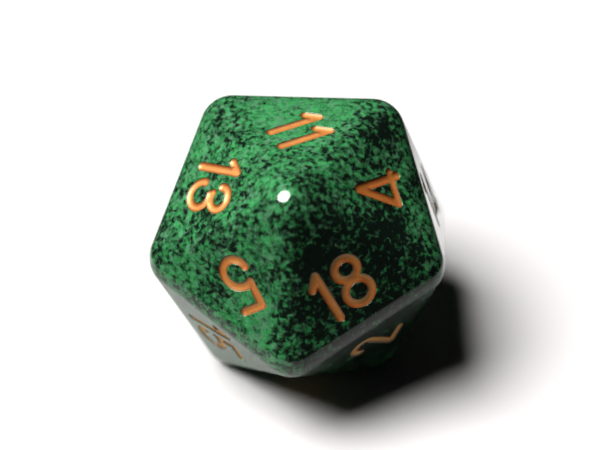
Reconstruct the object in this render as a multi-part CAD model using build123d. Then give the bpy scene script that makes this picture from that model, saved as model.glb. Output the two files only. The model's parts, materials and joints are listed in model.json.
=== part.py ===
"""Twenty-sided playing die with engraved, paint-filled numerals.

The body is a regular icosahedron of speckled plastic whose edges and corners are rolled over to one radius.
Each face carries a number from 1 to 20, engraved as a shallow pocket with drafted walls and part-filled with
paint. Opposite faces add up to 21. The body and the paint of each number are separate solids.

Frame: millimetres, +Z up. The die rests on face 10 with face 11 on top. The origin is the centre of face 10.
Output: parts/die_body.step, and parts/numeral_01.step to parts/numeral_20.step.
"""

from build123d import *
import math
import os

# Body
FACE_TO_FACE = 20.0  # between opposite faces, the nominal size of the die
EDGE_ROUND = 2.4  # radius rolled over every edge and corner

# Engraving
DIGIT_HEIGHT = 4.4  # overall, stroke width included
STROKE = 0.66  # width of the cut at the face
POCKET_DEPTH = 0.40  # face to pocket floor
PAINT_SINK = 0.12  # face to paint surface
WALL_DRAFT = 8.0  # lean of the pocket walls, degrees
DIGIT_GAP = 0.42  # between the two digits of a number
BAR_LENGTH = 2.0  # underline that tells 6 from 9
BAR_STROKE = 0.50
BAR_GAP = 0.34  # between the digit and its underline
MARKED_SCALE = 0.90  # a digit with an underline is made this much smaller
WIDEST_SCALE = 0.92  # the digits of 20, which would otherwise reach the rolled edges

# Icosahedron worked out from the face-to-face size
GOLDEN = (1 + math.sqrt(5)) / 2
INRADIUS = FACE_TO_FACE / 2
EDGE = INRADIUS * 2 * math.sqrt(3) / GOLDEN**2
OUTER_RING = EDGE / math.sqrt(3)  # ring through the corners of the top face
INNER_RING = GOLDEN * OUTER_RING  # ring through the next three corners down
INNER_HEIGHT = EDGE / (2 * math.sqrt(3) * GOLDEN)  # of that ring, above the centre

# Rings of three corners from top to bottom: ring radius, height above the centre, angle of the first corner
RINGS = {
    "t": (OUTER_RING, INRADIUS, -90),
    "u": (INNER_RING, INNER_HEIGHT, 90),
    "l": (INNER_RING, -INNER_HEIGHT, -90),
    "b": (OUTER_RING, -INRADIUS, 90),
}
OPPOSITE_RING = {"t": "b", "u": "l", "l": "u", "b": "t"}

# Which face each number is on: the corner at its lower left, at its lower right, and above its head.
# The other ten numbers follow from these, since opposite faces add up to 21.
FACES = {
    11: ("t2", "t0", "t1"),
    4: ("u2", "t1", "t0"),
    18: ("l0", "u2", "t0"),
    5: ("t0", "u1", "l0"),
    13: ("t2", "u1", "t0"),
    15: ("u1", "b1", "l0"),
    2: ("b2", "u2", "l0"),
    14: ("u2", "l1", "t1"),
    9: ("t2", "t1", "u0"),
    1: ("u1", "t2", "l2"),
}

# Numbers that were cut a little off the middle of their face: shift right and shift towards the head
OFF_CENTRE = {5: (0.0, 0.2), 18: (-0.15, -0.12)}

# Proportions of the digits, measured on the centre line of the stroke
TOP = (DIGIT_HEIGHT - STROKE) / 2
BOTTOM = -TOP
UPPER_RADIUS = 0.82  # upper bowl of 2, 3 and 8
LOWER_RADIUS = 0.96  # lower bowl of 3, 6 and 8
UPPER_CENTRE = TOP - UPPER_RADIUS
LOWER_CENTRE = BOTTOM + LOWER_RADIUS


def corner(name, shrink=1.0):
    """Position of a named corner, such as t0, for a die shrunk about its centre."""
    radius, height, first_angle = RINGS[name[0]]
    angle = math.radians(first_angle + 120 * int(name[1]))
    point = Vector(radius * math.cos(angle), radius * math.sin(angle), height)
    return point * shrink + Vector(0, 0, INRADIUS)


def opposite(name):
    """The corner diametrically opposite a named one."""
    return OPPOSITE_RING[name[0]] + name[1]


def all_faces():
    """Lower left, lower right and head corners of all twenty numbers."""
    faces = dict(FACES)
    for number, (left, right, head) in FACES.items():
        faces[21 - number] = (opposite(right), opposite(left), opposite(head))
    return faces


def rounded_icosahedron():
    """The moulding before engraving: a smaller icosahedron grown outwards by the edge radius."""
    shrink = 1 - EDGE_ROUND / INRADIUS
    sides = []
    for names in all_faces().values():
        points = [corner(name, shrink) for name in names]
        sides.append(Face(Wire.make_polygon(points, close=True)))
    return offset(Solid(Shell(sides)), EDGE_ROUND, kind=Kind.ARC)


def stroke(*lines):
    """A cut of constant width with round ends along a run of joined lines."""
    outline = Wire(lines).offset_2d(STROKE / 2, kind=Kind.ARC, side=Side.BOTH)
    return Sketch() + make_face(outline.edges())


def arc(centre_x, centre_y, radius, start, end):
    """Circular arc between two directions in degrees."""
    return CenterArc((centre_x, centre_y), radius, start, end - start)


def ring(centre_y, radius):
    """A closed round cut."""
    return Pos(0, centre_y) * (Circle(radius + STROKE / 2) - Circle(radius - STROKE / 2))


def zero():
    """Long oval with straight sides."""
    half_width = 0.98
    outside = SlotOverall(DIGIT_HEIGHT, 2 * half_width + STROKE, rotation=90)
    inside = SlotOverall(DIGIT_HEIGHT - 2 * STROKE, 2 * half_width - STROKE, rotation=90)
    return [outside - inside]


def one():
    """Straight stem with a short flag down to the left."""
    flag_reach = 0.66
    flag_drop = 0.78
    flag = Line((-flag_reach, TOP - flag_drop), (0, TOP))
    stem = Line((0, TOP), (0, BOTTOM))
    return [stroke(flag, stem)]


def two():
    """Upper bowl open to the left, a straight slope and a flat foot."""
    half_foot = 0.98
    bowl = arc(0, UPPER_CENTRE, UPPER_RADIUS, 180, -35)
    slope = Line(bowl @ 1, (-half_foot, BOTTOM))
    foot = Line((-half_foot, BOTTOM), (half_foot, BOTTOM))
    return [stroke(bowl, slope, foot)]


def three():
    """Two bowls open to the left that merge in a short spur."""
    upper = arc(0, UPPER_CENTRE, UPPER_RADIUS, 185, -110)
    lower = arc(0, LOWER_CENTRE, LOWER_RADIUS, 100, -185)
    return [stroke(upper), stroke(lower)]


def four():
    """Leaning stem, long slope and a bar that crosses the stem."""
    half_bar = 1.13
    bar_height = BOTTOM + 0.51
    apex = (0.20, TOP - 0.15)
    foot = (0.86, BOTTOM)
    slope = Line(apex, (-half_bar, bar_height))
    bar = Line((-half_bar, bar_height), (half_bar, bar_height))
    return [stroke(Line(apex, foot)), stroke(slope, bar)]


def five():
    """Top bar, short stem and a wide bowl whose end curls up."""
    right_side = 0.90
    bar_end = 0.70
    shoulder_radius = 1.15
    belly_radius = 0.94
    shoulder = arc(right_side - shoulder_radius, BOTTOM + belly_radius, shoulder_radius, 120, 0)
    belly = arc(right_side - belly_radius, BOTTOM + belly_radius, belly_radius, 0, -172)
    stem_foot = shoulder @ 0
    top_left = (stem_foot.X, TOP)
    return [stroke(Line((bar_end, TOP), top_left), Line(top_left, stem_foot), shoulder, belly)]


def six():
    """Closed lower bowl with an arched tail rising from its left side."""
    tail_radius = 3.2
    rise = math.degrees(math.asin((TOP - LOWER_CENTRE) / tail_radius))
    tail = arc(tail_radius - LOWER_RADIUS, LOWER_CENTRE, tail_radius, 180, 180 - rise)
    return [ring(LOWER_CENTRE, LOWER_RADIUS), stroke(tail)]


def seven():
    """Top bar and a straight slope."""
    half_bar = 0.95
    foot = (-0.35, BOTTOM)
    return [stroke(Line((-half_bar, TOP), (half_bar, TOP)), Line((half_bar, TOP), foot))]


def eight():
    """Two closed bowls that merge at the waist, the upper one smaller."""
    return [ring(UPPER_CENTRE, UPPER_RADIUS), ring(LOWER_CENTRE, LOWER_RADIUS)]


def nine():
    """A six turned half a turn."""
    return [Rot(Z=180) * cut for cut in six()]


DIGITS = [zero, one, two, three, four, five, six, seven, eight, nine]


def engraved(strokes):
    """The pocket for a digit: its strokes sunk to the pocket floor, narrowing on the way down."""
    pocket = Part()
    for cut in strokes:
        pocket += extrude(cut, amount=-POCKET_DEPTH, taper=WALL_DRAFT)
    return pocket


def side_by_side(pockets):
    """The digits of a number in a row, centred on the middle of the face."""
    boxes = [pocket.bounding_box() for pocket in pockets]
    left = -(sum(box.size.X for box in boxes) + DIGIT_GAP * (len(boxes) - 1)) / 2
    placed = []
    for pocket, box in zip(pockets, boxes):
        placed.append(Pos(left - box.min.X, 0) * pocket)
        left += box.size.X + DIGIT_GAP
    return placed


def underlined(strokes):
    """A digit made a little smaller above an underline, the pair centred on the face."""
    digit_height = DIGIT_HEIGHT * MARKED_SCALE
    half_height = (BAR_GAP + BAR_STROKE + digit_height) / 2
    smaller = [scale(cut, by=MARKED_SCALE) for cut in strokes]
    digit = Pos(0, half_height - digit_height / 2) * engraved(smaller)
    bar = Pos(0, BAR_STROKE / 2 - half_height) * engraved([SlotOverall(BAR_LENGTH, BAR_STROKE)])
    return [digit, bar]


def pockets_of(number):
    """Everything engraved for one number, in the frame of its face."""
    digits = [DIGITS[int(character)]() for character in str(number)]
    if number in (6, 9):
        return underlined(digits[0])
    if number == 20:
        digits = [[scale(cut, by=WIDEST_SCALE) for cut in digit] for digit in digits]
    return side_by_side([engraved(digit) for digit in digits])


def paint_in(pocket):
    """The paint that fills a pocket from its floor to just below the face."""
    below = Box(EDGE, EDGE, 2 * POCKET_DEPTH, align=(Align.CENTER, Align.CENTER, Align.MAX))
    return pocket & Pos(0, 0, -PAINT_SINK) * below


def face_frame(left, right, head):
    """Frame of a face: origin at its centre, X along the foot of the number, Z outwards."""
    along = corner(right) - corner(left)
    centre = (corner(left) + corner(right) + corner(head)) / 3
    return Plane(origin=centre, x_dir=along, z_dir=along.cross(corner(head) - corner(left)))


def main():
    """Engrave every face, and write the body and the paint of each number."""
    os.makedirs("parts", exist_ok=True)
    body = rounded_icosahedron()
    for number, face in all_faces().items():
        place = face_frame(*face) * Pos(*OFF_CENTRE.get(number, (0, 0)))
        pockets = pockets_of(number)
        body = body - [place * pocket for pocket in pockets]
        paint = [place * paint_in(pocket) for pocket in pockets]
        export_step(Compound(paint), f"parts/numeral_{number:02d}.step")
    export_step(body, "parts/die_body.step")


main()
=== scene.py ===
"""Speckled green twenty-sided die with gold numerals, resting on white paper under one soft lamp.

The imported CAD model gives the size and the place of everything. Lengths are in millimetres, times MM where
Blender takes metres.
"""

import bpy
import json
import math
import numpy as np
from mathutils import Matrix, Vector
from mathutils.geometry import delaunay_2d_cdt


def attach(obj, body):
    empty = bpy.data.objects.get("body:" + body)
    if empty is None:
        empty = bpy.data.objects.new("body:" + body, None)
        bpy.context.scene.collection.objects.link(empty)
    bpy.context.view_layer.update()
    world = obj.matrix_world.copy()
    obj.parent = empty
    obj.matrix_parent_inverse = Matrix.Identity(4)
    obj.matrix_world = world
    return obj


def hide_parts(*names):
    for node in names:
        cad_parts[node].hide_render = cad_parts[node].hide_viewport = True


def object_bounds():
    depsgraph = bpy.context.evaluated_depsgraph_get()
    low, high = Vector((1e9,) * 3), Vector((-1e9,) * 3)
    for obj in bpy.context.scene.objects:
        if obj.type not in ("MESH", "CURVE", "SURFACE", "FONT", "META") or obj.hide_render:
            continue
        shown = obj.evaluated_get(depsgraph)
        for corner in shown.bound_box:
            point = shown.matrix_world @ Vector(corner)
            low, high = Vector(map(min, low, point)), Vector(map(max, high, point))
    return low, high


MM = 0.001

# Camera, aimed close to the middle of the die
CAMERA_AZIMUTH = 5.4  # degrees from -Y towards +X
CAMERA_ELEVATION = 41.7
CAMERA_DISTANCE = 115.4 * MM
CAMERA_ROLL = -1.83
CAMERA_LENS = 93.5
CAMERA_SENSOR = 36  # millimetres wide
FOCUS_ARM = 7.4 * MM  # sharpest this far from the middle of the die towards the camera
CAMERA_STOP = 25
AIM_OFFSET = Vector((-0.15, 0.50, 0.58)) * MM

# Lamp up on the left, a disc facing the die
LAMP_DIRECTION = Vector((-0.43, -0.108, 0.897))
LAMP_DISTANCE = 400 * MM
LAMP_RADIUS = 140 * MM
LAMP_POWER = 2.7
LAMP_COLOUR = (1.0, 0.985, 0.97)

# Faint light of the room
ROOM_STRENGTH = 0.018
ROOM_LOW = (0.62, 0.60, 0.66, 1)
ROOM_HIGH = (0.25, 0.25, 0.28, 1)
ROOM_BLEND = (0.0, 0.7)  # from level to steeply up

# Paper, with a pair of colours for the hollows and the tops of its tooth
FLOOR_SIZE = 3000 * MM
PAPER_SEEN = (0.79, 0.78, 0.79, 1), (0.81, 0.80, 0.81, 1)
PAPER_LIGHTING = (0.84, 0.84, 0.84, 1), (0.88, 0.88, 0.88, 1)
PAPER_DIM = (0.02, 0.02, 0.02, 1)  # what the dimmed share of the sheet turns to
SHEET_EDGE = (22, 45)  # millimetres: the die is lit and mirrored by the bright sheet near it only
DIFFUSE_DIM = 0.45  # share of the sheet's light that the shaded sides of the die don't get
SECOND_DIM = 0.7  # the same for light on its second bounce, and so for the core of the shadow
MIRROR_DIM = 0.48  # the same for the mirror image of the sheet in front of the die
FRONT_START = (-8.0, 0.0)  # millimetres from the middle towards -Y, where that begins and is full
BACKDROP_START = (60, 200)  # millimetres: past this the camera sees plain white
BACKDROP_WHITE = 0.95

# Speckle: black grows in as a noise rises through BLACK_STEP
BLACK_STEP = (0.33, 0.71)
SWELL = 0.34  # how much a slow second noise crowds and thins the grains
# The noise is also raised or lowered round some directions from the middle of the die: partly real crowding
# of the grains, partly painted shade (more black on faces 18, 4 and 2, a little on 13 and 5) and painted
# light (less black on the top face 11). Each direction is a weighted sum of the normals of numbered faces,
# and comes with a reach in degrees and an amount.
CROWD_CORE = 0.35  # share of the reach that has the full amount
CROWDING_AND_PAINTED_SHADE = [
    ({11: 3, 14: 2, 4: 1}, 17, 0.10),
    ({4: 2, 14: 1}, 10, 0.05),
    ({11: 1, 4: 1}, 12, 0.03),
    ({11: 6, 18: 4, 5: 1}, 9, 0.09),
    ({4: 2, 18: 4, 5: 2, 11: 1}, 17, 0.08),
    ({4: 2, 18: 2, 11: 1}, 9, -0.06),
    ({5: 4, 18: 5, 11: 3}, 9, 0.05),
    ({5: 1, 18: 2}, 18, 0.06),
    ({5: 1, 18: 2, 2: 1, 15: 1}, 15, 0.09),
    ({18: 3, 4: 1}, 32, 0.12),
    ({4: 2, 14: 1, 18: 2}, 22, 0.04),
    ({4: 1, 14: 1, 18: 2, 2: 1}, 24, 0.04),
    ({18: 3, 4: 2, 14: 2}, 16, 0.04),
    ({11: 5, 13: 3, 1: 2}, 9, 0.08),
    ({13: 1, 5: 1}, 28, 0.02),
    ({13: 1, 1: 1, 15: 1}, 14, 0.03),
    ({2: 1}, 40, 0.18),
    ({11: 2, 13: 1, 5: 1}, 17, -0.07),
    ({11: 3, 9: 1}, 26, -0.14),
    ({13: 2, 1: 1, 9: 1}, 16, -0.06),
    ({5: 2, 15: 1, 18: 1}, 13, -0.06),
    ({5: 1, 18: 1, 15: 1}, 12, -0.04),
]
BRIGHT_GREEN = (0.054, 0.325, 0.106, 1)
DEEP_GREEN = (0.028, 0.180, 0.058, 1)
# the larger pale patches are partly the plastic's own paler tone, partly painted sheen: the grey haze of a
# reflection put into the colour
PALE_GREEN = (0.135, 0.285, 0.180, 1)
BLACK = (0.009, 0.017, 0.012, 1)
PALE_AND_SHEEN_SHARE = 0.65  # how far the larger pale patches go towards PALE_GREEN

# Surface of the plastic: nearly even, with worn patches and a fine grain
PLASTIC_ROUGHNESS = 0.08
WORN_ROUGHNESS = 0.05
FINE_ROUGHNESS = 0.04
FINE_HEIGHT = 0.006

# Paint
DISH = "dish"  # attribute of the paint: 0 at its edge, 1 in the middle of a stroke
ORANGE = (0.54, 0.112, 0.015, 1)
GOLD = (0.61, 0.172, 0.027, 1)
PALE_GOLD = (0.70, 0.33, 0.09, 1)
GLINT = (0.95, 0.78, 0.36, 1)
# RUSSET is the edge of the paint: partly its own browner thin paint, partly painted shade along the pocket
# wall
RUSSET = (0.19, 0.040, 0.010, 1)
GRAIN_SHARE = 0.35  # how far the paler grains go towards PALE_GOLD
EDGE_AND_SHADE_SHARE = 0.9  # how far the edges of a stroke go towards RUSSET
RAGGEDNESS = 0.25  # how much the grain breaks up that edge
PAINT_ROUGHNESS = 0.34
GLINT_ROUGHNESS = 0.52
GLINT_SHARE = 0.36  # metallic share of the paint
GLINT_LOSS = 0.7  # part of that share that is missing along the edges

# Numerals, millimetres above the face
RIM_ROUND = 0.042  # softened mouth of a pocket
WALL_DRAFT = math.tan(math.radians(8.0))
PAINT_EDGE = -0.05  # where the paint meets the wall
PAINT_SAG = 0.09  # dip of the paint from its edge to the middle of a stroke
PAINT_GAP = 0.002  # hair gap between paint and plastic
HALF_STROKE = 0.31

# Mesh density
EDGE_ROWS = 10  # rows of quads round a rolled edge
EDGE_COLUMNS = 40  # quads along it
OUTLINE_STEP = 0.055
GRID_STEP = 0.55
RIM_STEPS = 6
MERGE_SHIFTS = (0.0000317, 0.0000121)  # a pair of points split by one rounding grid meets in the other
PAINT_LEVELS = (0.1, 0.2, 0.33, 0.48, 0.65, 0.85)
SMOOTH_TURN = math.cos(math.radians(20))

# An icosahedron
CORNER_PER_FACE = 1.2584086  # distance of a corner over distance of a face
NEIGHBOUR_COSINE = 0.745356  # between the normals of faces that share an edge
NEXT_COSINE = 1 / 3  # between the normals of faces that share only a corner, two apart round it
TOUCHING_COSINE = 0.7  # a corner belongs to the faces whose normals are nearer to it than this
SAME_COSINE = 0.99  # directions nearer than this are one direction

TINY = 1e-6  # lengths, areas and volumes below this count as nothing
LEVEL_STEP = 0.001  # millimetres: points nearer in height than this are on one level


def mesh_points(mesh):
    """Vertices of a mesh in millimetres, merged where they coincide, and its triangles."""
    points = np.empty(len(mesh.vertices) * 3)
    mesh.vertices.foreach_get("co", points)
    points, merged = np.unique(np.round(points.reshape(-1, 3) / MM, 5), axis=0, return_inverse=True)
    mesh.calc_loop_triangles()
    triangles = np.empty(len(mesh.loop_triangles) * 3, dtype=int)
    mesh.loop_triangles.foreach_get("vertices", triangles)
    return points, merged.ravel()[triangles].reshape(-1, 3)


def unit(vectors):
    return vectors / np.linalg.norm(vectors, axis=-1, keepdims=True)


class Face:
    """The plane of one face of the die: its centre, its normal, and two directions in it."""

    def __init__(self, middle, height, axis):
        self.axis = np.array(axis)
        aside = (0.3, 0.5, 0.8) if abs(axis[2]) < 0.7 else (0.1, 1.0, 0.2)  # any direction off the normal
        across = np.cross(aside, self.axis)
        self.turn = np.stack([unit(across), np.cross(self.axis, unit(across)), self.axis])
        self.centre = middle + height * self.axis

    def flat(self, points):
        return (points - self.centre) @ self.turn.T

    def solid(self, points):
        return points @ self.turn + self.centre


def outlines(points, triangles):
    """Loops round the highest level of a numeral, with the numeral on their left."""
    high = points[:, 2] > points[:, 2].max() - LEVEL_STEP
    top = triangles[high[triangles].all(axis=1)]
    following = dict(border_of(top))
    loops = []
    while following:
        start, after = following.popitem()
        loop = [start]
        while after != start:
            loop.append(after)
            after = following.pop(after)
        loops.append(points[loop, :2])
    return loops


class Outline:
    """Distance from the edge of a numeral, negative inside it, with a direction that turns smoothly.
    Points of the plane are complex numbers in here."""

    def __init__(self, loops):
        loops = [loop[:, 0] + 1j * loop[:, 1] for loop in loops]
        steps = [np.roll(loop, -1) - loop for loop in loops]
        normals = [-1j * step / np.abs(step) for step in steps]
        corners = [normal + np.roll(normal, 1) + 1e-9 for normal in normals]
        corners = [corner / np.abs(corner) for corner in corners]
        gentle = [(normal / np.roll(normal, 1)).real > SMOOTH_TURN for normal in normals]
        following = [np.roll(corner, -1) for corner in corners]
        gentle_next = [np.roll(soft, -1) for soft in gentle]
        self.start, self.step, self.normal = (np.concatenate(parts) for parts in (loops, steps, normals))
        self.corner, self.next_corner = np.concatenate(corners), np.concatenate(following)
        self.gentle, self.gentle_next = np.concatenate(gentle), np.concatenate(gentle_next)
        self.samples = [self.evenly(loop, step) for loop, step in zip(loops, steps)]

    @staticmethod
    def evenly(loop, steps):
        counts = np.maximum(1, np.round(np.abs(steps) / OUTLINE_STEP)).astype(int)
        return np.concatenate([point + step * np.arange(count) / count
                               for point, step, count in zip(loop, steps, counts)])

    def measure_complex(self, points):
        away = points[:, None] - self.start
        share = np.clip((away * self.step.conj()).real / np.abs(self.step)**2, 0, 1)
        away -= share * self.step
        nearest = (away.real**2 + away.imag**2).argmin(axis=1)
        row = np.arange(len(points))
        away, share = away[row, nearest], share[row, nearest]
        gap = np.abs(away)
        normal, corner, next_corner = self.normal[nearest], self.corner[nearest], self.next_corner[nearest]
        at_start, at_end = share == 0, share == 1
        facing = np.where(at_start, corner, np.where(at_end, next_corner, normal))
        side = np.where((away * facing.conj()).real < 0, -1.0, 1.0)
        first = np.where(self.gentle[nearest], corner, normal)
        last = np.where(self.gentle_next[nearest], next_corner, normal)
        direction = (1 - share) * first + share * last
        sharp = (at_start & ~self.gentle[nearest]) | (at_end & ~self.gentle_next[nearest])
        direction = np.where(sharp & (gap > TINY), side * away / np.maximum(gap, TINY), direction)
        return side * gap, direction / np.abs(direction)

    def measure(self, points):
        """Signed distance and outward direction at each point."""
        distance, direction = self.measure_complex(points[:, 0] + 1j * points[:, 1])
        return distance, np.column_stack([direction.real, direction.imag])

    def level(self, distance):
        """The sampled outlines moved to a distance from the edge."""
        moved = []
        for points in self.samples:
            for _ in range(3):
                here, direction = self.measure_complex(points)
                points = points + (distance - here) * direction
            points = points[np.abs(self.measure_complex(points)[0] - distance) < 0.2 * OUTLINE_STEP]
            moved.append(np.column_stack([points.real, points.imag]))
        return moved


def border_of(triangles):
    """Edges with a triangle on one side only, in that triangle's order."""
    edges = np.vstack([triangles[:, [0, 1]], triangles[:, [1, 2]], triangles[:, [2, 0]]]).tolist()
    known = set(map(tuple, edges))
    return [(a, b) for a, b in edges if (b, a) not in known]


def apart(points, distance):
    """Points in order, without those nearer than a distance to an earlier one."""
    kept = []
    cells = {}
    for point in points:
        cell = (int(point[0] // distance), int(point[1] // distance))
        around = [(cell[0] + i, cell[1] + j) for i in (-1, 0, 1) for j in (-1, 0, 1)]
        near = (other for key in around for other in cells.get(key, ()))
        if all((point[0] - other[0])**2 + (point[1] - other[1])**2 > distance**2 for other in near):
            cells.setdefault(cell, []).append(point)
            kept.append(point)
    return np.array(kept)


def triangulate(fixed_loops, loose):
    """Flat triangles over closed loops of fixed points and loose points between them."""
    edges = []
    count = 0
    for loop in fixed_loops:
        edges += [(count + i, count + (i + 1) % len(loop)) for i in range(len(loop))]
        count += len(loop)
    points = np.vstack(list(fixed_loops) + list(loose))
    vectors = [Vector(point) for point in points]
    found, _, triangles, origins, _, _ = delaunay_2d_cdt(vectors, edges, [], 0, TINY)
    points = np.array([points[origin[0]] if origin else tuple(point)
                       for point, origin in zip(found, origins)])
    a, b, c = points[np.array(triangles)].transpose(1, 0, 2)
    area = (b - a)[:, 0] * (c - a)[:, 1] - (b - a)[:, 1] * (c - a)[:, 0]
    return points, np.array(triangles)[area > TINY]


def pocket_profile(sunk, floor):
    """Stations across the wall of a pocket: floor, wall, rounded mouth and face, with the normal at each as
    (outward, up). The edge of the paint, at distance 0, was cut from the wall at the height sunk."""
    steep = math.atan2(1, WALL_DRAFT)
    mouth = -sunk * WALL_DRAFT
    bends = np.linspace(steep, 0, RIM_STEPS)
    face_start = mouth + RIM_ROUND * (math.sin(steep) - (1 - math.cos(steep)) * WALL_DRAFT)
    stations = [(mouth + floor * WALL_DRAFT, floor, 0.0)]
    for bend in bends:
        stations.append((face_start - RIM_ROUND * math.sin(bend), RIM_ROUND * (math.cos(bend) - 1), bend))
    return np.array(stations)


class Builder:
    """Collects points with normals and triangles, and makes one smooth mesh of them."""

    def __init__(self):
        self.points, self.normals, self.triangles, self.dish = [], [], [], []
        self.count = 0

    def add(self, points, normals, triangles, dish=0.0):
        self.dish.append(np.broadcast_to(dish, len(points)))
        self.points.append(points)
        self.normals.append(normals)
        self.triangles.append(np.asarray(triangles) + self.count)
        self.count += len(points)

    def grid(self, points, normals):
        """A sheet of quads, from arrays of rows and columns."""
        rows, columns = points.shape[:2]
        index = np.arange(rows * columns).reshape(rows, columns)
        a, b, c, d = index[:-1, :-1], index[1:, :-1], index[1:, 1:], index[:-1, 1:]
        halves = np.concatenate([np.stack(half, axis=-1).reshape(-1, 3) for half in ((a, b, c), (a, c, d))])
        self.add(points.reshape(-1, 3), normals.reshape(-1, 3), halves)

    def make(self, name, material):
        points, normals = np.vstack(self.points), np.vstack(self.normals)
        triangles = np.vstack(self.triangles)
        same = np.arange(len(points))
        for shift in MERGE_SHIFTS:
            rounded = np.round(points[same] + shift, 4)
            _, first, group = np.unique(rounded, axis=0, return_index=True, return_inverse=True)
            same = same[first][group.ravel()]
        kept, merged = np.unique(same, return_inverse=True)
        triangles_merged = merged[triangles]
        keep = (triangles_merged != np.roll(triangles_merged, 1, axis=1)).all(axis=1)
        corner_normals = normals[triangles[keep]].reshape(-1, 3)
        mesh = bpy.data.meshes.new(name)
        mesh.from_pydata((points[kept] * MM).tolist(), [], triangles_merged[keep].tolist())
        mesh.materials.append(material)
        mesh.shade_smooth()
        mesh.normals_split_custom_set(corner_normals.tolist())
        dish = mesh.attributes.new(DISH, "FLOAT", "POINT")
        dish.data.foreach_set("value", np.concatenate(self.dish)[kept])
        piece = bpy.data.objects.new(name, mesh)
        bpy.context.scene.collection.objects.link(piece)
        return piece


def skeleton(axes):
    """Directions of the twelve corners, from three faces in a row round each."""
    found = []
    for i, first in enumerate(axes):
        for second in axes:
            for third in axes[i + 1:]:
                row = first @ second, second @ third, first @ third
                if np.allclose(row, (NEIGHBOUR_COSINE, NEIGHBOUR_COSINE, NEXT_COSINE), atol=1e-3):
                    corner = unit(np.linalg.solve(np.stack([first, second, third]), np.ones(3)))
                    if not any(corner @ other > SAME_COSINE for other in found):
                        found.append(corner)
    return np.array(found)


def blend_directions(a, b, steps):
    share = np.linspace(0, 1, steps + 1)[:, None]
    return unit((1 - share) * a + share * b)


def rounding(builder, axes, corners, inner, radius, middle):
    """The rolled corners of the body, then its rolled edges."""
    touching = corners @ axes.T > TOUCHING_COSINE
    for i, corner in enumerate(corners):
        place = middle + inner * corner
        near = [axes[j] for j in np.flatnonzero(touching[i])]
        for a in near:
            for b in near:
                beside = NEXT_COSINE + 0.1 < a @ b < SAME_COSINE
                if beside and np.cross(a, b) @ corner > TINY:
                    side = blend_directions(a, b, EDGE_ROWS)
                    shares = np.linspace(0, 1, EDGE_ROWS + 1)
                    rows = [unit((1 - share) * side + share * corner) for share in shares]
                    directions = np.stack(rows, axis=1)
                    builder.grid(place + radius * directions, directions)
    for i, first in enumerate(corners):
        for j, second in enumerate(corners[:i]):
            faces = np.flatnonzero(touching[i] & touching[j])
            if len(faces) == 2 and first @ second > 0:
                a, b = axes[faces]
                if np.cross(a, b) @ (second - first) > 0:
                    a, b = b, a
                share = np.linspace(0, 1, EDGE_COLUMNS + 1)[:, None]
                line = middle + inner * ((1 - share) * first + share * second)
                across = blend_directions(a, b, EDGE_ROWS)
                points = line[:, None] + radius * across
                builder.grid(points, np.broadcast_to(across, points.shape))


def perimeter(corners):
    """Even points round a flat triangle, counted as the rolled edges are."""
    share = np.linspace(0, 1, EDGE_COLUMNS + 1)[:-1, None]
    return np.vstack([(1 - share) * a + share * b for a, b in zip(corners, np.roll(corners, -1, axis=0))])


def hex_grid(low, high, step):
    """Rows of points that cover a box."""
    rows = []
    for k, y in enumerate(np.arange(low[1], high[1], step * math.sqrt(3) / 2)):
        xs = np.arange(low[0] + step / 2 * (k % 2), high[0], step)
        rows.append(np.stack([xs, np.full(len(xs), y)], axis=1))
    return np.vstack(rows)


def add_face(builder, face, ring, outline, stations):
    """One flat face of the body with the pockets of its number."""
    distances, heights, bends = stations.T
    grid = hex_grid(ring.min(axis=0), ring.max(axis=0), GRID_STEP)
    away, _ = outline.measure(grid)
    edge = Outline([ring])
    clear = np.abs(away) > 0.6 * GRID_STEP
    inside = edge.measure(grid)[0] < -0.5 * GRID_STEP
    spacing = 0.3 * (distances[-1] - distances[-2]) + 0.002
    levels = [points for distance in distances for points in outline.level(distance)]
    loose = apart(np.vstack(levels), spacing)
    points, triangles = triangulate([ring], [loose, grid[clear & inside]])
    away, outward = outline.measure(points)
    height = np.interp(away, distances, heights)
    bend = np.interp(away, distances, bends)
    bend = np.where(away <= distances[0] + 0.1 * LEVEL_STEP, 0, bend)[:, None]
    normal = np.hstack([-np.sin(bend) * outward, np.cos(bend)])
    solid = face.solid(np.column_stack([points, height]))
    builder.add(solid, normal @ face.turn, triangles)


def paint_piece(name, face, outline, sunk, floor, material):
    """The paint in the pockets of one number: dished on top, down to the floor of the pockets."""
    rim = (PAINT_EDGE - sunk) * WALL_DRAFT - PAINT_GAP
    spacing = 0.4 * OUTLINE_STEP
    border = [apart(points, spacing) for points in outline.level(rim)]
    loose = [points for share in PAINT_LEVELS for points in outline.level(rim - share * HALF_STROKE)]
    loose = apart(np.vstack(border + loose), spacing)[sum(map(len, border)):]
    loose = loose[outline.measure(loose)[0] < rim - 0.5 * spacing]
    points, triangles = triangulate(border, [loose])
    triangles = triangles[outline.measure(points[triangles].mean(axis=1))[0] < rim]
    away, outward = outline.measure(points)
    depth = np.clip((rim - away) / HALF_STROKE, 0, 1)
    top = PAINT_EDGE - PAINT_SAG * (1 - (1 - depth)**2)
    slope = 2 * PAINT_SAG * (1 - depth) / HALF_STROKE
    inset = (PAINT_EDGE - floor) * WALL_DRAFT * (1 - depth)
    count = len(points)
    bottom = np.full(count, floor + PAINT_GAP)
    upper = face.solid(np.column_stack([points, top]))
    lower = face.solid(np.column_stack([points - outward * inset[:, None], bottom]))
    a, b = np.array(border_of(triangles)).T
    walls = np.vstack([np.column_stack([b, a, a + count]), np.column_stack([b, a + count, b + count])])
    paint = Builder()
    upward = unit(np.column_stack([-slope[:, None] * outward, np.ones(count)]))
    paint.add(upper, upward @ face.turn, triangles, depth)
    paint.add(lower, np.tile(-face.axis, (count, 1)), triangles[:, ::-1])
    outward = np.column_stack([outward, np.zeros(count)]) @ face.turn
    paint.add(np.vstack([upper, lower]), np.vstack([outward, outward]), walls)
    return paint.make(name, material)


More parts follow.
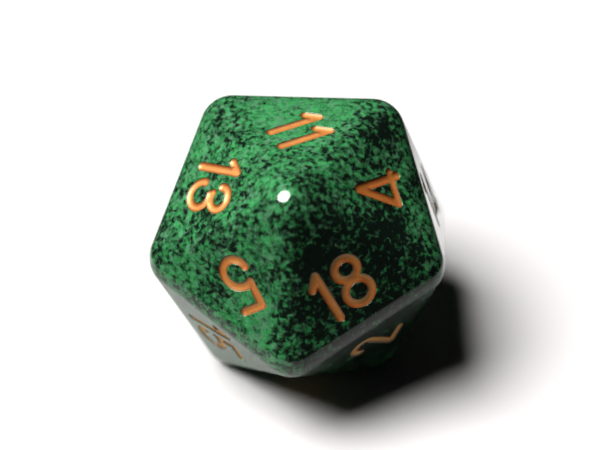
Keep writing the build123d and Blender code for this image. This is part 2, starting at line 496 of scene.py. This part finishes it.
def build_die(frame, middle):
    """The body as one mesh and the paint of each number as another, from the CAD model's own measures."""
    nodes = frame["nodes"]
    mounts = {mount["name"]: mount for mount in frame["record"]["mounts"]}
    numbers = sorted(int(name.split("_")[1]) for name in nodes if name.startswith("numeral_"))
    axes = {number: unit(np.array(mounts[f"face_{number}"]["axis"])) for number in numbers}
    normals = np.array(list(axes.values()))
    height = middle[2]
    body_points, _ = mesh_points(nodes["die_body"].data)
    reach = np.linalg.norm(body_points - middle, axis=1).max()
    radius = (height * CORNER_PER_FACE - reach) / (CORNER_PER_FACE - 1)
    inner = (height - radius) * CORNER_PER_FACE
    corners = skeleton(normals)
    paint_finish = numeral_paint()
    body = Builder()
    rounding(body, normals, corners, inner, radius, middle)
    for number, axis in axes.items():
        face = Face(middle, height, axis)
        points, triangles = mesh_points(nodes[f"numeral_{number:02d}"].data)
        points = face.flat(points)
        sunk, floor = points[:, 2].max(), points[:, 2].min()
        outline = Outline(outlines(points, triangles))
        own_corners = corners[corners @ axis > TOUCHING_COSINE]
        flat_corners = face.flat(middle + inner * own_corners + radius * axis)[:, :2]
        flat_corners = flat_corners[np.argsort(np.arctan2(flat_corners[:, 1], flat_corners[:, 0]))]
        add_face(body, face, perimeter(flat_corners), outline, pocket_profile(sunk, floor))
        paint = paint_piece(f"paint_{number:02d}", face, outline, sunk, floor, paint_finish)
        stand_for(paint, f"numeral_{number:02d}")
    stand_for(body.make("body", speckled_plastic(axes, middle)), "die_body")


def stand_for(piece, node):
    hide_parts(node)
    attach(piece, "root")


class Nodes:
    """Short way to write a node tree: each call adds one node and returns its first output."""

    def __init__(self, tree):
        self.tree = tree
        self.tree.nodes.clear()

    def add(self, kind, inputs=None, output=0, **settings):
        node = self.tree.nodes.new(kind)
        for name, value in settings.items():
            setattr(node, name, value)
        for name, value in (inputs or {}).items():
            self.link(value, node.inputs[name])
        return node.outputs[output] if node.outputs else node

    def link(self, value, socket):
        if isinstance(value, bpy.types.NodeSocket):
            self.tree.links.new(value, socket)
        else:
            socket.default_value = value

    def math(self, operation, a, b):
        return self.add("ShaderNodeMath", {0: a, 1: b}, operation=operation)

    def vector(self, operation, a, b=(0, 0, 0), output=0):
        return self.add("ShaderNodeVectorMath", {0: a, 1: b}, output=output, operation=operation)

    def noise(self, vector, scale, detail=2.0, roughness=0.5, distortion=0.0):
        inputs = {"Vector": vector, "Scale": scale, "Detail": detail, "Roughness": roughness}
        inputs["Distortion"] = distortion
        return self.add("ShaderNodeTexNoise", inputs)

    def step(self, value, low, high):
        """0 below low, 1 above high, smooth in between."""
        inputs = {"Value": value, "From Min": low, "From Max": high}
        return self.add("ShaderNodeMapRange", inputs, interpolation_type="SMOOTHSTEP")

    def mix(self, factor, a, b):
        """Colour mix."""
        node = self.tree.nodes.new("ShaderNodeMix")
        node.data_type = "RGBA"
        self.link(factor, node.inputs[0])
        self.link(a, node.inputs[6])
        self.link(b, node.inputs[7])
        return node.outputs[2]

    def millimetres(self):
        """Position on the object, in millimetres."""
        position = self.add("ShaderNodeTexCoord", output=3)
        return self.add("ShaderNodeVectorMath", {0: position, "Scale": 1 / MM}, operation="SCALE")


def new_material(name):
    material = bpy.data.materials.new(name)
    material.use_nodes = True
    return material, Nodes(material.node_tree)


def speckled_plastic(axes, middle):
    """Glossy green plastic, densely speckled with black grains that crowd together in places, with painted
    shade and painted light put in as more or fewer black grains on some faces.
    """
    material, n = new_material("speckled_plastic")
    place = n.millimetres()
    outward = n.vector("NORMALIZE", n.vector("SUBTRACT", place, tuple(middle)))
    level = n.noise(place, 2.35, detail=1.4, roughness=0.6, distortion=0.3)
    swell = n.noise(place, 0.45, detail=1.5, distortion=0.3)
    level = n.math("ADD", level, n.math("MULTIPLY", n.math("SUBTRACT", swell, 0.5), SWELL))
    # each direction adds to or takes from the black: partly real crowding of the grains, partly painted
    # shade and painted light
    for faces, reach, amount in CROWDING_AND_PAINTED_SHADE:
        centre = unit(sum(weight * axes[number] for number, weight in faces.items()))
        near = n.vector("DOT_PRODUCT", outward, tuple(centre), output=1)
        inner, outer = (math.cos(math.radians(angle)) for angle in (CROWD_CORE * reach, reach))
        level = n.math("ADD", level, n.math("MULTIPLY", n.step(near, outer, inner), amount))
    black = n.step(level, *BLACK_STEP)
    shade = n.noise(place, 1.5, detail=3.0, roughness=0.6, distortion=0.2)
    green = n.mix(n.step(shade, 0.35, 0.65), DEEP_GREEN, BRIGHT_GREEN)
    # pale patches: partly the plastic's own tone, partly painted sheen standing in for a reflected haze
    pale_and_sheen = n.step(n.noise(place, 1.1, detail=3.0, roughness=0.6), 0.45, 0.68)
    flecks = n.step(n.noise(place, 5.5), 0.45, 0.75)
    pale = n.math("MAXIMUM", n.math("MULTIPLY", pale_and_sheen, PALE_AND_SHEEN_SHARE), flecks)
    colour = n.mix(black, n.mix(pale, green, PALE_GREEN), BLACK)
    worn = n.step(n.noise(place, 0.9, detail=3.0, roughness=0.65), 0.45, 0.75)
    fine = n.noise(place, 12.0, detail=3.0, roughness=0.6)
    rough = n.math("ADD", n.math("MULTIPLY", worn, WORN_ROUGHNESS), PLASTIC_ROUGHNESS)
    rough = n.math("ADD", rough, n.math("MULTIPLY", fine, FINE_ROUGHNESS))
    height = n.math("ADD", n.noise(place, 0.8), n.math("MULTIPLY", fine, FINE_HEIGHT))
    bump = n.add("ShaderNodeBump", {"Height": height, "Strength": 0.02, "Distance": 0.2 * MM})
    shader = n.add("ShaderNodeBsdfPrincipled", {
        "Base Color": colour, "Roughness": rough, "IOR": 1.54, "Normal": bump,
        "Coat Weight": 0.45, "Coat Roughness": 0.075})
    n.add("ShaderNodeOutputMaterial", {"Surface": shader})
    return material


def numeral_paint():
    """Orange-gold paint with a fine metallic grain, browner along its edges: partly thinner paint, partly
    painted shade where the paint meets the pocket wall.
    """
    material, n = new_material("numeral_paint")
    place = n.millimetres()
    grain = n.noise(place, 9.0, detail=3.0, roughness=0.6)
    cloud = n.noise(place, 1.3)
    colour = n.mix(n.step(cloud, 0.35, 0.65), ORANGE, GOLD)
    colour = n.mix(n.math("MULTIPLY", n.step(grain, 0.35, 0.70), GRAIN_SHARE), colour, PALE_GOLD)
    dish = n.add("ShaderNodeAttribute", output=2, attribute_name=DISH)
    ragged = n.math("ADD", dish, n.math("MULTIPLY", grain, RAGGEDNESS))
    # the brown edge: partly thinner paint, partly painted shade where the paint meets the pocket wall
    edge = n.math("SUBTRACT", 1.0, n.step(ragged, 0.15, 0.90))
    colour = n.mix(n.math("MULTIPLY", edge, EDGE_AND_SHADE_SHARE), colour, RUSSET)
    height = n.math("ADD", grain, n.math("MULTIPLY", cloud, 3.0))
    bump = n.add("ShaderNodeBump", {"Height": height, "Strength": 0.15, "Distance": 0.02 * MM})
    rough = n.math("ADD", n.math("MULTIPLY", grain, 0.15), PAINT_ROUGHNESS)
    shader = n.add("ShaderNodeBsdfPrincipled", {
        "Base Color": colour, "Roughness": rough, "Normal": bump,
        "Coat Weight": 0.15, "Coat Roughness": 0.28})
    metal = n.add("ShaderNodeBsdfAnisotropic", {
        "Color": GLINT, "Roughness": GLINT_ROUGHNESS, "Normal": bump})
    middle = n.math("SUBTRACT", 1.0, n.math("MULTIPLY", edge, GLINT_LOSS))
    shader = n.add("ShaderNodeMixShader", {0: n.math("MULTIPLY", middle, GLINT_SHARE), 1: shader, 2: metal})
    n.add("ShaderNodeOutputMaterial", {"Surface": shader})
    return material


def paper():
    """White paper with a faint tooth. The camera sees its full brightness, and plain white far off. The die
    gets less light from it: from far away, in its mirror image towards -Y, and by diffuse bounces."""
    material, n = new_material("paper")
    place = n.millimetres()
    distance = n.vector("LENGTH", place, output=1)
    seen = n.add("ShaderNodeLightPath")
    unseen = n.math("SUBTRACT", 1.0, seen)
    path = seen.node.outputs
    tooth = n.noise(place, 3.0, detail=4.0, roughness=0.6)
    colour = n.mix(seen, n.mix(tooth, *PAPER_LIGHTING), n.mix(tooth, *PAPER_SEEN))
    bump = n.add("ShaderNodeBump", {"Height": tooth, "Strength": 0.05, "Distance": 0.1 * MM})
    lit = n.add("ShaderNodeBsdfPrincipled", {"Base Color": colour, "Roughness": 0.8, "Normal": bump})
    second = n.math("MULTIPLY", n.math("GREATER_THAN", path["Ray Depth"], 1.5), SECOND_DIM)
    dim = n.math("MAXIMUM", n.math("MULTIPLY", path["Is Diffuse Ray"], DIFFUSE_DIM), second)
    forward = n.math("MULTIPLY", n.add("ShaderNodeSeparateXYZ", {0: place}, output=1), -1.0)
    mirrored = n.math("MULTIPLY", path["Is Glossy Ray"], MIRROR_DIM)
    dim = n.math("MAXIMUM", dim, n.math("MULTIPLY", n.step(forward, *FRONT_START), mirrored))
    dim = n.math("MULTIPLY", n.math("MAXIMUM", dim, n.step(distance, *SHEET_EDGE)), unseen)
    dark = n.add("ShaderNodeBsdfDiffuse", {"Color": PAPER_DIM})
    surface = n.add("ShaderNodeMixShader", {0: dim, 1: lit, 2: dark})
    open_floor = n.math("MULTIPLY", n.step(distance, *BACKDROP_START), seen)
    backdrop = n.add("ShaderNodeEmission", {"Strength": BACKDROP_WHITE})
    surface = n.add("ShaderNodeMixShader", {0: open_floor, 1: surface, 2: backdrop})
    n.add("ShaderNodeOutputMaterial", {"Surface": surface})
    return material


def add_floor():
    """The sheet of paper under the die."""
    mesh = bpy.data.meshes.new("floor")
    half = FLOOR_SIZE / 2
    corners = [(-half, -half, 0), (half, -half, 0), (half, half, 0), (-half, half, 0)]
    mesh.from_pydata(corners, [], [(0, 1, 2, 3)])
    floor = bpy.data.objects.new("floor", mesh)
    bpy.context.scene.collection.objects.link(floor)
    mesh.materials.append(paper())


def aim(thing, place, target, roll=0.0):
    """Put a lamp or camera at a place, looking at a target."""
    turn = (target - place).to_track_quat("-Z", "Y").to_matrix().to_4x4()
    thing.matrix_world = Matrix.Translation(place) @ turn @ Matrix.Rotation(math.radians(roll), 4, "Z")


def add_lamp(middle):
    """The soft lamp up on the left."""
    light = bpy.data.lights.new("lamp", "AREA")
    light.shape = "DISK"
    light.size = 2 * LAMP_RADIUS
    light.energy = LAMP_POWER
    light.color = LAMP_COLOUR
    lamp = bpy.data.objects.new("lamp", light)
    bpy.context.scene.collection.objects.link(lamp)
    aim(lamp, middle + LAMP_DIRECTION.normalized() * LAMP_DISTANCE, middle)


def add_room():
    """Soft light from all round, a little violet, dimmer overhead."""
    world = bpy.data.worlds.new("room")
    bpy.context.scene.world = world
    world.use_nodes = True
    n = Nodes(world.node_tree)
    up = n.add("ShaderNodeSeparateXYZ", {0: n.add("ShaderNodeTexCoord", output=0)}, output=2)
    colour = n.mix(n.step(up, *ROOM_BLEND), ROOM_LOW, ROOM_HIGH)
    seen = n.add("ShaderNodeLightPath")
    colour = n.mix(seen, colour, (BACKDROP_WHITE, BACKDROP_WHITE, BACKDROP_WHITE, 1))
    strength = n.math("MAXIMUM", seen, ROOM_STRENGTH)
    light = n.add("ShaderNodeBackground", {"Color": colour, "Strength": strength})
    n.add("ShaderNodeOutputWorld", {"Surface": light})


def add_camera(middle):
    """The viewing angle of the picture."""
    azimuth = math.radians(CAMERA_AZIMUTH)
    elevation = math.radians(CAMERA_ELEVATION)
    level = Vector((math.sin(azimuth), -math.cos(azimuth), 0)) * math.cos(elevation)
    place = middle + (level + Vector((0, 0, math.sin(elevation)))) * CAMERA_DISTANCE
    data = bpy.data.cameras.new("camera")
    data.lens = CAMERA_LENS
    data.sensor_width = CAMERA_SENSOR
    data.clip_start = 1 * MM
    data.dof.use_dof = True
    data.dof.aperture_fstop = CAMERA_STOP
    camera = bpy.data.objects.new("camera", data)
    arm = bpy.data.objects.new("focus_arm", None)
    focus = bpy.data.objects.new("focus", None)
    for thing in (camera, arm, focus):
        bpy.context.scene.collection.objects.link(thing)
    aim(camera, place, middle + AIM_OFFSET, CAMERA_ROLL)
    arm.location = middle
    track = arm.constraints.new("TRACK_TO")
    track.target = camera
    track.track_axis = "TRACK_Z"
    track.up_axis = "UP_Y"
    focus.parent = arm
    focus.location = (0, 0, FOCUS_ARM)
    data.dof.focus_object = focus
    bpy.context.scene.camera = camera


with open("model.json") as file:
    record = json.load(file)
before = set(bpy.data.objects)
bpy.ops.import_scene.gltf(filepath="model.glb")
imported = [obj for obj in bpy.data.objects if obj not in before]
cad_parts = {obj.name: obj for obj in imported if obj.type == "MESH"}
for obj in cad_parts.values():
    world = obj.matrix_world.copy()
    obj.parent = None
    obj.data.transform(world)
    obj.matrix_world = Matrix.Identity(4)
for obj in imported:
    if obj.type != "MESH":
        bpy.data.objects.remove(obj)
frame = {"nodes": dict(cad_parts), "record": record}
cad_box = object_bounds()
middle = Vector((0, 0, (cad_box[0].z + cad_box[1].z) / 2))
build_die(frame, np.array(middle) / MM)

add_floor()
add_lamp(middle)
add_room()
add_camera(middle)
bpy.context.scene.view_settings.view_transform = "Standard"
bpy.context.scene.view_settings.look = "Medium High Contrast"
